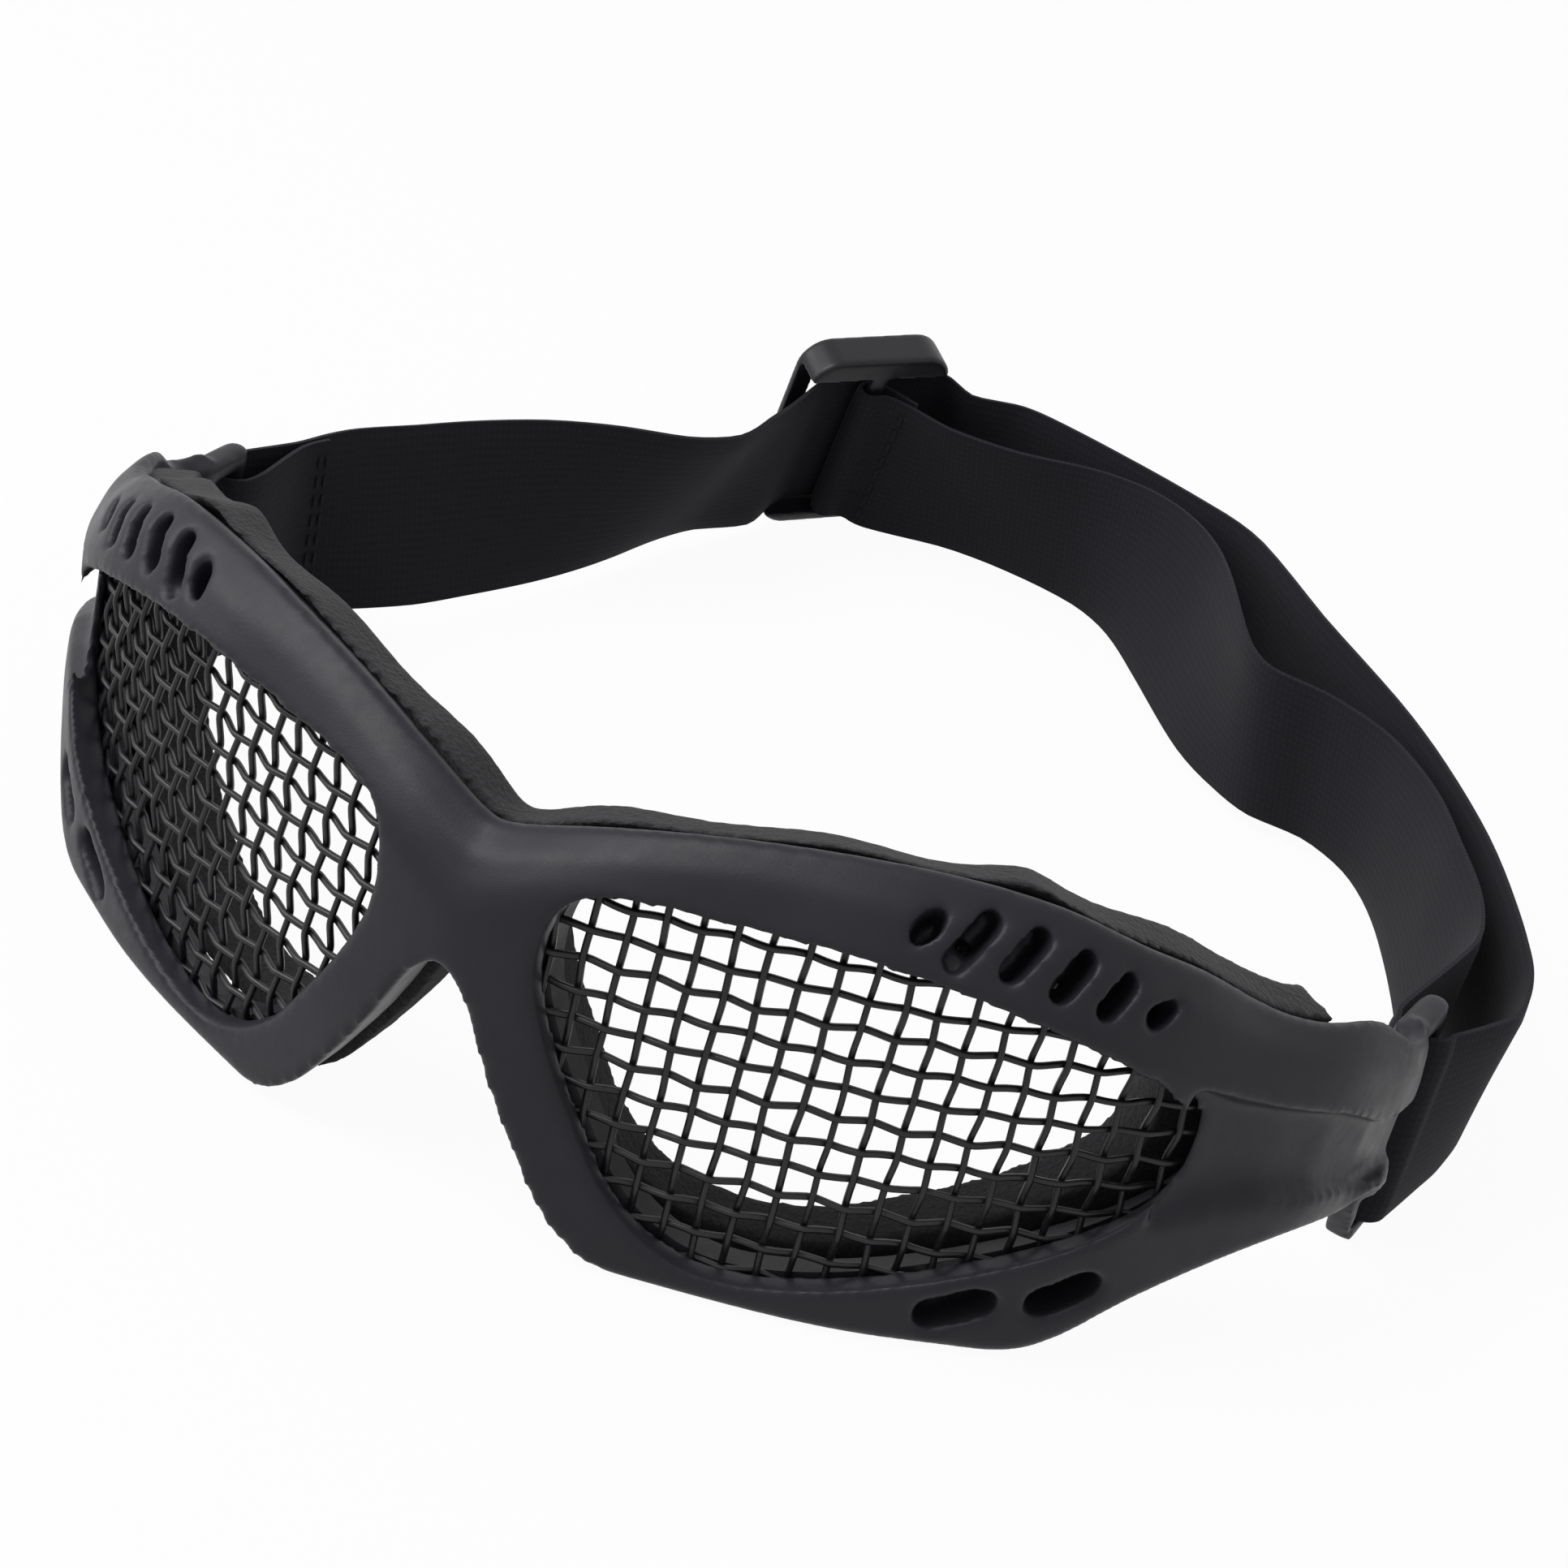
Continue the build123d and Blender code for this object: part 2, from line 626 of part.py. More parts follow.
def return_route():
    """Edge points from the bar at plus X back to the sewn loop on the slider's middle bar."""
    wrapped = bar_wrap(1, 90, 262, 8) + [upright(bar_x - wrap, wrap)]
    turn = bar_out / 2 + slider_clear + strap_thick / 2
    centre = (slider_bar_length - bar_out) / 2
    loop = [slider_pair(slider_bar_length * 0.87, return_mid * 2), slider_pair(centre * 1.4, return_mid)]
    for degree in (270, 225, 180, 135, 90):
        angle = radians(degree)
        loop.append(slider_pair(turn * cos(angle) - centre, bar_out / 2 + turn * sin(angle)))
    for degree in (90, 50, 10):
        angle = radians(degree)
        loop.append(slider_pair(turn * cos(angle) + centre, bar_out / 2 + turn * sin(angle)))
    return wrapped + return_pairs() + [return_exit()] + loop + [shifted(return_exit(), tail_lift)]


def strap_return():
    """The webbing's other end, from the bar at plus X back to the slider."""
    return ribbon(return_route())


def seam(edges, place, share):
    """A row of thread stitches on the left face of a strap, at a share of the way past a place on it."""
    near, far = edges[place], edges[place + 1]
    top, bottom = [a * (1 - share) + b * share for a, b in zip(near, far)]
    up = (top - bottom).normalized()
    heading = ((far[0] + far[1]) - (near[0] + near[1])).normalized()
    plane = Plane(origin=(top + bottom) * 0.5, x_dir=up.cross(heading), z_dir=up)
    lift = strap_thick / 2 + stitch_clear + stitch_proud / 2
    pitch = strap_width / (stitch_count + 1)
    marks = [Location((lift, 0, (k - (stitch_count - 1) / 2) * pitch)) for k in range(stitch_count)]
    return [plane * mark * Box(stitch_proud, stitch_thread, stitch_length) for mark in marks]


def bar_stitching():
    """Two seams that close the strap's loop on the bar at minus X, seen on both faces."""
    edges = refined(main_pairs())
    outer = 2 * main_pairs().index(leaning(run_left_shares[0]))
    stitches = []
    for share in seam_shares:
        stitches += seam(edges, outer + 1, share) + seam(edges, 0, 1 - share)
    return Compound(stitches)


def slider_stitching():
    """The seam that closes the webbing's loop on the slider's middle bar."""
    edges = refined(return_route())
    inner = 2 * return_route().index(return_exit())
    return Compound(seam(edges, inner, seam_shares[-1]) + seam(edges, len(edges) - 2, 1 - seam_shares[-1]))


def slider_buckle():
    """The slider: two rails, two outer bars and one middle bar, with the strap's two slots."""
    plane = Plane(origin=place_s, x_dir=-along_s, z_dir=out_s)
    body = extrude(plane * RectangleRounded(slider_length, slider_height, slider_corner), slider_thick)
    broad = body.faces().sort_by(Axis(place_s, out_s))
    body = fillet(broad[0].edges() + broad[-1].edges(), slider_edge_round)
    slot_height = slider_height - slider_top_rail - slider_bottom_rail
    drop = Location((0, (slider_bottom_rail - slider_top_rail) / 2, 0))
    opening = Rectangle(slider_length - 2 * slider_rim_length, slot_height)
    passage = Rectangle(slider_length + overrun, slot_height)
    under = plane * Location((0, 0, -overrun)) * drop
    body = body - extrude(under * opening, slider_thick + 2 * overrun)
    body = body - extrude(under * passage, overrun + rim_out)
    bar = extrude(plane * drop * Rectangle(slider_bar_length, slot_height + slider_bottom_rail), slider_bar_thick)
    bar = fillet(bar.edges().filter_by(lambda e: abs(e.tangent_at(0).dot(up_s)) > 0.99), slider_bar_round)
    return body + bar


pieces = {
    "front_frame": front_frame(),
    "mesh_screen_left": mesh_screen(),
    "screen_ring_left": screen_ring(),
    "face_foam": face_foam(),
    "strap_main": strap_main(),
    "strap_return": strap_return(),
    "slider_buckle": slider_buckle(),
    "bar_stitching": bar_stitching(),
    "slider_stitching": slider_stitching(),
}
pieces["mesh_screen_right"] = mirror(pieces["mesh_screen_left"], about=Plane.YZ)
pieces["screen_ring_right"] = mirror(pieces["screen_ring_left"], about=Plane.YZ)

home = Location((-origin_shares[0] * half_width, -origin_shares[1] * loop_reach, 0))
os.makedirs("parts", exist_ok=True)
for name, shape in pieces.items():
    solids = shape.solids()
    print(name, len(solids), "solid", round(sum(s.volume for s in solids), 1), "mm3")
    export_step(home * shape, f"parts/{name}.step")
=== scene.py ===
import math

import bpy
import numpy as np
from mathutils import Matrix, Vector


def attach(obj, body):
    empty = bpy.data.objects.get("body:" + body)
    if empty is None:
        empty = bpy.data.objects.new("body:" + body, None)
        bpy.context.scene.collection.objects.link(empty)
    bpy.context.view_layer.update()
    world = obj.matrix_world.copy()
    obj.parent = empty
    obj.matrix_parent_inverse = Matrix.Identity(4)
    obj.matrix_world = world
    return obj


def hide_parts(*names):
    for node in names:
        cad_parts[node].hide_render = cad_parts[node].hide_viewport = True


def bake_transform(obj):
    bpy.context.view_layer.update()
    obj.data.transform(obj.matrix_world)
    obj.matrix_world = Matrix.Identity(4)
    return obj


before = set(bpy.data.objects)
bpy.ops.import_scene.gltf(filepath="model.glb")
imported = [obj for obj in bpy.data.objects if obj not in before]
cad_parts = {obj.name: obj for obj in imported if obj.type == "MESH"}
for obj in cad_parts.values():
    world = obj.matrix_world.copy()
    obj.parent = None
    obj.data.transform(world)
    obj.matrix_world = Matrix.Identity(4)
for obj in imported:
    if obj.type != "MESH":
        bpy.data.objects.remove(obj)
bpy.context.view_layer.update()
print("frame loaded:", len(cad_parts), "nodes")

mm = 0.001
halfWidth = 88.0  # half the frame's width across the temples, in millimetres
reach = 131.0  # how far the strap stands behind its bars, in millimetres
originShares = (-0.0284, -0.1885)  # of halfWidth and reach, from the middle between the bars
home = Vector((originShares[0] * halfWidth, originShares[1] * reach, 0))
smoothFactor = 0.5


def clearSelection():
    if bpy.context.object and bpy.context.object.mode != "OBJECT":
        bpy.ops.object.mode_set(mode="OBJECT")
    bpy.ops.object.select_all(action="DESELECT")


def pick(obj):
    clearSelection()
    obj.select_set(True)
    bpy.context.view_layer.objects.active = obj


def addObject(name, data):
    obj = bpy.data.objects.new(name, data)
    bpy.context.scene.collection.objects.link(obj)
    return obj


def applyModifiers(obj):
    pick(obj)
    for modifier in list(obj.modifiers):
        bpy.ops.object.modifier_apply(modifier=modifier.name)


def copyOfNode(nodeName, name):  # a CAD node's mesh as a piece of its own, its loose triangles merged
    obj = addObject(name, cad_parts[nodeName].data.copy())
    pick(obj)
    bpy.ops.object.mode_set(mode="EDIT")
    bpy.ops.mesh.select_all(action="SELECT")
    bpy.ops.mesh.remove_doubles(threshold=0.01 * mm)
    bpy.ops.object.mode_set(mode="OBJECT")
    return obj


def evenOut(obj, voxel, rounds):  # an even mesh, its edges rounded off by smoothing
    even = obj.modifiers.new("even", "REMESH")
    even.mode = "VOXEL"
    even.voxel_size = voxel
    soft = obj.modifiers.new("soft", "SMOOTH")
    soft.factor = smoothFactor
    soft.iterations = rounds
    applyModifiers(obj)


def shadeSmooth(obj):
    pick(obj)
    bpy.ops.object.shade_smooth()


def dress(obj, material):
    obj.data.materials.clear()
    obj.data.materials.append(material)


# Materials


def newMaterial(name, look):
    material = bpy.data.materials.new(name)
    material.use_nodes = True
    shader = material.node_tree.nodes["Principled BSDF"]
    shader.inputs["Base Color"].default_value = (*look["colour"], 1)
    shader.inputs["Roughness"].default_value = look["roughness"]
    shader.inputs["Specular IOR Level"].default_value = look["gloss"]
    return material, material.node_tree, shader


def addNode(tree, kind, inputs=None, **settings):
    node = tree.nodes.new(kind)
    for key, value in settings.items():
        setattr(node, key, value)
    for key, value in (inputs or {}).items():
        node.inputs[key].default_value = value
    return node


def objectCoordinates(tree):
    return tree.nodes.new("ShaderNodeTexCoord").outputs["Object"]


def noiseOn(tree, vector, scale, detail=4.0, rough=0.55):
    node = addNode(tree, "ShaderNodeTexNoise", {"Scale": scale, "Detail": detail, "Roughness": rough})
    tree.links.new(vector, node.inputs["Vector"])
    return node.outputs["Fac"]


def rampOf(tree, value, low, high, stops=(0.3, 0.7)):
    node = tree.nodes.new("ShaderNodeValToRGB")
    for element, stop, colour in zip(node.color_ramp.elements, stops, (low, high)):
        element.position = stop
        element.color = (*colour, 1)
    tree.links.new(value, node.inputs["Fac"])
    return node.outputs["Color"]


def bumpFrom(tree, height, strength, distance, before=None):
    node = addNode(tree, "ShaderNodeBump", {"Strength": strength, "Distance": distance})
    tree.links.new(height, node.inputs["Height"])
    if before is not None:
        tree.links.new(before, node.inputs["Normal"])
    return node.outputs["Normal"]


def rangeOf(tree, value, low, high):  # most of a noise lies between a quarter and three quarters
    limits = {"From Min": 0.25, "From Max": 0.75, "To Min": low, "To Max": high}
    node = addNode(tree, "ShaderNodeMapRange", limits)
    tree.links.new(value, node.inputs["Value"])
    return node.outputs["Result"]


moulded = {
    "cloud": 60, "scuff": 420, "scuffDetail": 6, "scuffRough": 0.7, "shinier": 0.05, "duller": 0.09,
    "grainDetail": 3, "grainRough": 0.6, "grainDepth": 0.05 * mm,
}


def mouldedPlastic(name, look):  # spark-textured moulding with faint scuffs
    material, tree, shader = newMaterial(name, look)
    place = objectCoordinates(tree)
    cloudy = noiseOn(tree, place, moulded["cloud"])
    tree.links.new(rampOf(tree, cloudy, look["dark"], look["light"]), shader.inputs["Base Color"])
    scuff = noiseOn(tree, place, moulded["scuff"], moulded["scuffDetail"], moulded["scuffRough"])
    low, high = look["roughness"] - moulded["shinier"], look["roughness"] + moulded["duller"]
    tree.links.new(rangeOf(tree, scuff, low, high), shader.inputs["Roughness"])
    grain = noiseOn(tree, place, look["grain"], moulded["grainDetail"], moulded["grainRough"])
    tree.links.new(bumpFrom(tree, grain, look["bump"], moulded["grainDepth"]), shader.inputs["Normal"])
    return material


framePlastic = mouldedPlastic("framePlastic", {
    "colour": (0.0155, 0.0155, 0.020), "dark": (0.0135, 0.0135, 0.0175), "light": (0.0175, 0.0175, 0.0225),
    "roughness": 0.40, "grain": 3200, "bump": 0.35, "gloss": 0.18})
ringPlastic = mouldedPlastic("ringPlastic", {
    "colour": (0.018, 0.018, 0.021), "dark": (0.015, 0.015, 0.018), "light": (0.022, 0.022, 0.025),
    "roughness": 0.55, "grain": 2600, "bump": 0.3, "gloss": 0.4})
sliderPlastic = mouldedPlastic("sliderPlastic", {
    "colour": (0.009, 0.009, 0.012), "dark": (0.0075, 0.0075, 0.0095), "light": (0.0105, 0.0105, 0.0145),
    "roughness": 0.36, "grain": 2400, "bump": 0.15, "gloss": 0.25})

wireLook = {
    "colour": (0.007, 0.007, 0.008), "dark": (0.005, 0.005, 0.006), "light": (0.010, 0.010, 0.012),
    "roughness": 0.42, "shiniest": 0.30, "dullest": 0.48, "gloss": 0.35,
    "patches": 900, "patchDetail": 4, "patchRough": 0.6, "bump": 0.25, "bumpDepth": 0.03 * mm,
}


def wirePaint(look):  # black coating on steel wire, a little uneven
    material, tree, shader = newMaterial("wirePaint", look)
    patchy = noiseOn(tree, objectCoordinates(tree), look["patches"], look["patchDetail"], look["patchRough"])
    tree.links.new(rampOf(tree, patchy, look["dark"], look["light"]), shader.inputs["Base Color"])
    tree.links.new(rangeOf(tree, patchy, look["shiniest"], look["dullest"]), shader.inputs["Roughness"])
    tree.links.new(bumpFrom(tree, patchy, look["bump"], look["bumpDepth"]), shader.inputs["Normal"])
    return material


foamLook = {
    "colour": (0.045, 0.044, 0.047), "dark": (0.010, 0.010, 0.011), "light": (0.032, 0.031, 0.034),
    "roughness": 0.95, "gloss": 0.15, "sheen": 0.1, "sheenRoughness": 0.5,
    "cells": 1500, "cellBump": 0.5, "cellDepth": 0.25 * mm,
    "fuzz": 2600, "fuzzDetail": 6, "fuzzRough": 0.75, "fuzzBump": 0.6, "fuzzDepth": 0.2 * mm,
}


def foamSkin(look):  # open-cell foam with a soft nap
    material, tree, shader = newMaterial("foamSkin", look)
    place = objectCoordinates(tree)
    cells = addNode(tree, "ShaderNodeTexVoronoi", {"Scale": look["cells"]})
    tree.links.new(place, cells.inputs["Vector"])
    fuzz = noiseOn(tree, place, look["fuzz"], look["fuzzDetail"], look["fuzzRough"])
    tree.links.new(rampOf(tree, fuzz, look["dark"], look["light"]), shader.inputs["Base Color"])
    pitted = bumpFrom(tree, cells.outputs["Distance"], look["cellBump"], look["cellDepth"])
    tree.links.new(bumpFrom(tree, fuzz, look["fuzzBump"], look["fuzzDepth"], pitted), shader.inputs["Normal"])
    shader.inputs["Sheen Weight"].default_value = look["sheen"]
    shader.inputs["Sheen Roughness"].default_value = look["sheenRoughness"]
    return material


webbingLook = {
    "colour": (0.017, 0.017, 0.022), "dark": (0.0120, 0.0120, 0.0155), "light": (0.0155, 0.0155, 0.0195),
    "roughness": 0.85, "gloss": 0.12, "sheen": 0.05, "sheenRoughness": 0.4,
    "millimetreBands": 0.314,  # a wave texture's scale for bands one unit apart
    "ribPitch": 0.85, "ribWobble": 0.35, "ribDetail": 2.0, "cordPitch": 1.15, "cordWobble": 0.25,
    "toneStops": (0.0, 0.9), "weaveBump": 0.3, "bumpDepth": 0.08 * mm,
    "lint": 1.6, "lintDetail": 5, "lintRough": 0.7, "lintShare": 0.35, "lintBump": 0.15,
    "lintTone": (0.75, 0.75, 0.75),
}


def webbingCloth(look):  # elastic webbing: fine ribs across, cords along, in millimetres of its own UV map
    material, tree, shader = newMaterial("webbingCloth", look)
    place = addNode(tree, "ShaderNodeUVMap", uv_map="webbing").outputs["UV"]
    ribs = addNode(tree, "ShaderNodeTexWave", {
        "Scale": look["millimetreBands"] / look["ribPitch"], "Distortion": look["ribWobble"],
        "Detail Scale": look["ribDetail"]}, wave_type="BANDS", bands_direction="X")
    cords = addNode(tree, "ShaderNodeTexWave", {
        "Scale": look["millimetreBands"] / look["cordPitch"], "Distortion": look["cordWobble"],
    }, wave_type="BANDS", bands_direction="Y")
    woven = addNode(tree, "ShaderNodeMath", operation="MULTIPLY")
    for wave, socket in zip((ribs, cords), woven.inputs):
        tree.links.new(place, wave.inputs["Vector"])
        tree.links.new(wave.outputs["Fac"], socket)
    lint = noiseOn(tree, place, look["lint"], look["lintDetail"], look["lintRough"])
    tinted = addNode(tree, "ShaderNodeMixRGB", {"Fac": look["lintShare"]}, blend_type="MULTIPLY")
    tone = rampOf(tree, woven.outputs["Value"], look["dark"], look["light"], look["toneStops"])
    tree.links.new(tone, tinted.inputs["Color1"])
    tree.links.new(rampOf(tree, lint, look["lintTone"], (1, 1, 1)), tinted.inputs["Color2"])
    tree.links.new(tinted.outputs["Color"], shader.inputs["Base Color"])
    weave = bumpFrom(tree, woven.outputs["Value"], look["weaveBump"], look["bumpDepth"])
    tree.links.new(bumpFrom(tree, lint, look["lintBump"], look["bumpDepth"], weave), shader.inputs["Normal"])
    shader.inputs["Sheen Weight"].default_value = look["sheen"]
    shader.inputs["Sheen Roughness"].default_value = look["sheenRoughness"]
    return material


threadLook = {
    "colour": (0.011, 0.011, 0.014), "dark": (0.009, 0.009, 0.011), "light": (0.013, 0.013, 0.016),
    "roughness": 0.9, "gloss": 0.2, "twist": 3500, "twistDetail": 2, "bump": 0.4, "bumpDepth": 0.05 * mm,
}


def threadFibre(look):
    material, tree, shader = newMaterial("threadFibre", look)
    twist = noiseOn(tree, objectCoordinates(tree), look["twist"], look["twistDetail"])
    tree.links.new(rampOf(tree, twist, look["dark"], look["light"]), shader.inputs["Base Color"])
    tree.links.new(bumpFrom(tree, twist, look["bump"], look["bumpDepth"]), shader.inputs["Normal"])
    return material


wireBlack = wirePaint(wireLook)
foamGrey = foamSkin(foamLook)
webbing = webbingCloth(webbingLook)
thread = threadFibre(threadLook)
print("materials made:", len(bpy.data.materials))

# Moulded frame and screen rings

moulding = {
    "voxel": 0.54 * mm, "soften": 11, "panelSoften": 45, "panelFade": 3 * mm,
    "panelX": (0.072, 0.0855), "panelY": (-0.048, -0.012), "panelZ": (0.016, 0.038),
    "plugs": [(47.35, -63.6, 47.7), (65.1, -54.0, 44.2)], "plugRadius": 1.3 * mm,
}


def plugVents(shell):  # a little more wall at the foot of two brow vents on each side
    for x, y, z in moulding["plugs"]:
        for sign in (1, -1):
            clearSelection()
            bpy.ops.mesh.primitive_uv_sphere_add(segments=16, ring_count=8, radius=moulding["plugRadius"],
                                                 location=(Vector((sign * x, y, z)) + home) * mm)
            plug = bpy.context.object
            pick(shell)
            plug.select_set(True)
            bpy.ops.object.join()


def panelShare(place):  # one in the middle of the temple panel, down to zero at its borders
    share = 1.0
    fade = moulding["panelFade"]
    for value, (low, high) in zip(place, (moulding["panelX"], moulding["panelY"], moulding["panelZ"])):
        share *= max(0.0, min(1.0, (value - low) / fade, (high - value) / fade))
    return share


def easePanels(shell):
    group = shell.vertex_groups.new(name="panel")
    for vertex in shell.data.vertices:
        x, y, z = vertex.co - home * mm
        share = panelShare((abs(x), y, z))
        if share > 0:
            group.add([vertex.index], share, "REPLACE")
    eased = shell.modifiers.new("eased", "SMOOTH")
    eased.vertex_group = group.name
    eased.factor = smoothFactor
    eased.iterations = moulding["panelSoften"]
    applyModifiers(shell)


frameShell = copyOfNode("front_frame", "frameShell")
plugVents(frameShell)
evenOut(frameShell, moulding["voxel"], moulding["soften"])
easePanels(frameShell)
shadeSmooth(frameShell)
dress(frameShell, framePlastic)
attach(frameShell, "frame")
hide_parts("front_frame")
print("frame shell:", len(frameShell.data.polygons), "faces")

for side in ("left", "right"):
    dress(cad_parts["screen_ring_" + side], ringPlastic)

# Slider

sliderMoulding = {"voxel": 0.27 * mm, "soften": 11}
sliderBody = copyOfNode("slider_buckle", "sliderBody")
evenOut(sliderBody, sliderMoulding["voxel"], sliderMoulding["soften"])
shadeSmooth(sliderBody)
dress(sliderBody, sliderPlastic)
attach(sliderBody, "slider")
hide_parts("slider_buckle")
print("moulded parts dressed")

# Stitching, each stitch rounded off

stitch = {"round": 0.085 * mm, "segments": 2}
stitchedRows = [("bar_stitching", "barThread", "strap"), ("slider_stitching", "sliderThread", "slider")]
for nodeName, name, body in stitchedRows:
    threadRow = copyOfNode(nodeName, name)
    softened = threadRow.modifiers.new("softened", "BEVEL")
    softened.width = stitch["round"]
    softened.segments = stitch["segments"]
    applyModifiers(threadRow)
    shadeSmooth(threadRow)
    dress(threadRow, thread)
    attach(threadRow, body)
    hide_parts(nodeName)
    print(name, "stitched:", len(threadRow.data.polygons), "faces")

# Woven wire screens

screen = {
    "pitch": 3.65 * mm, "wire": 0.41 * mm, "crimp": 0.36 * mm, "tight": 0.93, "wander": 0.09 * mm, "steps": 8,
    "alongShare": 0.45, "upShare": 0.35, "shortShare": 0.6,  # of the pitch: the first wires, the shortest
    "planOrder": 5, "planScale": 100, "planSamples": 400, "outlineDigits": 5,
    "uprights": {"turn": 2.4, "ripple": 230, "sway": 0.5, "side": 1},
    "rows": {"turn": 1.9, "ripple": 260, "sway": 1, "side": -1},
}


def crimpAt(phase):  # nearly straight runs that bend at each crossing
    return math.asin(screen["tight"] * math.cos(phase)) / math.asin(screen["tight"])


def hullOf(points):  # convex outline of flat points, anticlockwise
    points = sorted(set(points))

    def half(run):
        chain = []
        for p in run:
            while len(chain) > 1 and ((chain[-1][0] - chain[-2][0]) * (p[1] - chain[-2][1])
                                      - (chain[-1][1] - chain[-2][1]) * (p[0] - chain[-2][0])) <= 0:
                chain.pop()
            chain.append(p)
        return chain[:-1]

    return half(points) + half(points[::-1])


def spanAt(hull, value, axis):  # lowest and highest other coordinate where the outline crosses value
    found = []
    for a, b in zip(hull, hull[1:] + hull[:1]):
        if (a[axis] - value) * (b[axis] - value) < 0:
            t = (value - a[axis]) / (b[axis] - a[axis])
            found.append(a[1 - axis] + t * (b[1 - axis] - a[1 - axis]))
    return (min(found), max(found)) if len(found) > 1 else None


def sheetOf(side):  # the CAD screen's outline and its bend in plan, the right one mirrored
    co = np.array([v.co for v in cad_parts["mesh_screen_" + side].data.vertices])
    sign = 1 if side == "left" else -1
    co[:, 0] *= sign
    scale, digits = screen["planScale"], screen["outlineDigits"]
    bend = np.polyfit(co[:, 0] * scale, co[:, 1] * scale, screen["planOrder"])
    grid = np.linspace(co[:, 0].min(), co[:, 0].max(), screen["planSamples"])
    depth = np.polyval(bend, grid * scale) / scale
    return {
        "sign": sign, "grid": grid, "depth": depth, "slope": np.gradient(depth, grid),
        "run": np.concatenate([[0], np.cumsum(np.hypot(np.diff(grid), np.diff(depth)))]),
        "hull": hullOf([(round(p[0], digits), round(p[2], digits)) for p in co]),
        "low": co[:, 2].min(), "high": co[:, 2].max(),
    }


def onSheet(sheet, along, up, out):
    x, y, slope = (np.interp(along, sheet["run"], sheet[key]) for key in ("grid", "depth", "slope"))
    normal = Vector((slope, -1, 0)).normalized()
    return Vector((sheet["sign"] * (x + normal.x * out), y + normal.y * out, up))


def wireTravel(low, high, start, number, lay):  # one wire's travel, stray in the sheet and crimp out of it
    count = max(int((high - low) / screen["pitch"] * screen["steps"]), 3)
    for k in range(count + 1):
        travel = low + (high - low) * k / count
        phase = math.pi * (travel - start) / screen["pitch"]
        ripple = math.sin(number * lay["turn"] + travel * lay["ripple"])
        stray = screen["wander"] * (ripple + crimpAt(phase * lay["sway"] + number))
        yield travel, stray, screen["crimp"] * lay["side"] * crimpAt(phase) * (-1) ** number


def wiresOf(sheet):
    pitch, grid, run = screen["pitch"], sheet["grid"], sheet["run"]
    shortest = screen["shortShare"] * pitch
    firstAlong = screen["alongShare"] * pitch
    firstUp = sheet["low"] + screen["upShare"] * pitch
    lines = []
    for i in range(int(run[-1] / pitch) + 1):
        along = firstAlong + i * pitch
        span = spanAt(sheet["hull"], float(np.interp(along, run, grid)), 0)
        if along < run[-1] and span and span[1] - span[0] > shortest:
            lines.append([onSheet(sheet, along + stray, up, out)
                          for up, stray, out in wireTravel(*span, firstUp, i, screen["uprights"])])
    for j in range(int((sheet["high"] - sheet["low"]) / pitch) + 1):
        up = firstUp + j * pitch
        span = spanAt(sheet["hull"], up, 1)
        if span and span[1] - span[0] > shortest:
            first, last = (float(np.interp(v, grid, run)) for v in span)
            lines.append([onSheet(sheet, along, up + stray, out)
                          for along, stray, out in wireTravel(first, last, firstAlong, j, screen["rows"])])
    return lines


def weaveScreen(side):
    lines = wiresOf(sheetOf(side))
    data = bpy.data.curves.new("wires", "CURVE")
    data.dimensions = "3D"
    data.bevel_depth = screen["wire"]
    data.bevel_resolution = 1
    data.use_fill_caps = True
    for line in lines:
        spline = data.splines.new("POLY")
        spline.points.add(len(line) - 1)
        for point, place in zip(spline.points, line):
            point.co = (*place, 1)
    pick(addObject("wires_" + side, data))
    bpy.ops.object.convert(target="MESH")
    obj = bpy.context.object
    obj.name = "wireScreen_" + side
    shadeSmooth(obj)
    dress(obj, wireBlack)
    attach(obj, "frame")
    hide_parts("mesh_screen_" + side)
    print("wires in", side, "screen:", len(lines))


for side in ("left", "right"):
    weaveScreen(side)

# Face foam

foam = {
    "voxel": 0.55 * mm, "soften": 4, "fill": 0.8,
    "nap": 0.12 * mm, "napGrain": 1.6 * mm, "napDetail": 2, "napMiddle": 0.6,
}
faceFoam = copyOfNode("face_foam", "faceFoam")
evenOut(faceFoam, foam["voxel"], foam["soften"])
cloud = bpy.data.textures.new("napCloud", "CLOUDS")
cloud.noise_scale = foam["napGrain"]
cloud.noise_depth = foam["napDetail"]
nap = faceFoam.modifiers.new("nap", "DISPLACE")
nap.texture = cloud
nap.strength = foam["nap"]
nap.mid_level = foam["napMiddle"]
applyModifiers(faceFoam)
shadeSmooth(faceFoam)
dress(faceFoam, foamGrey)
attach(faceFoam, "frame")
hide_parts("face_foam")
print("foam made:", len(faceFoam.data.polygons), "faces")

# Strap webbing, in millimetres until it is meshed. A row of a run gives the top edge's place and then the
# bottom edge's, each as shares of halfWidth and reach

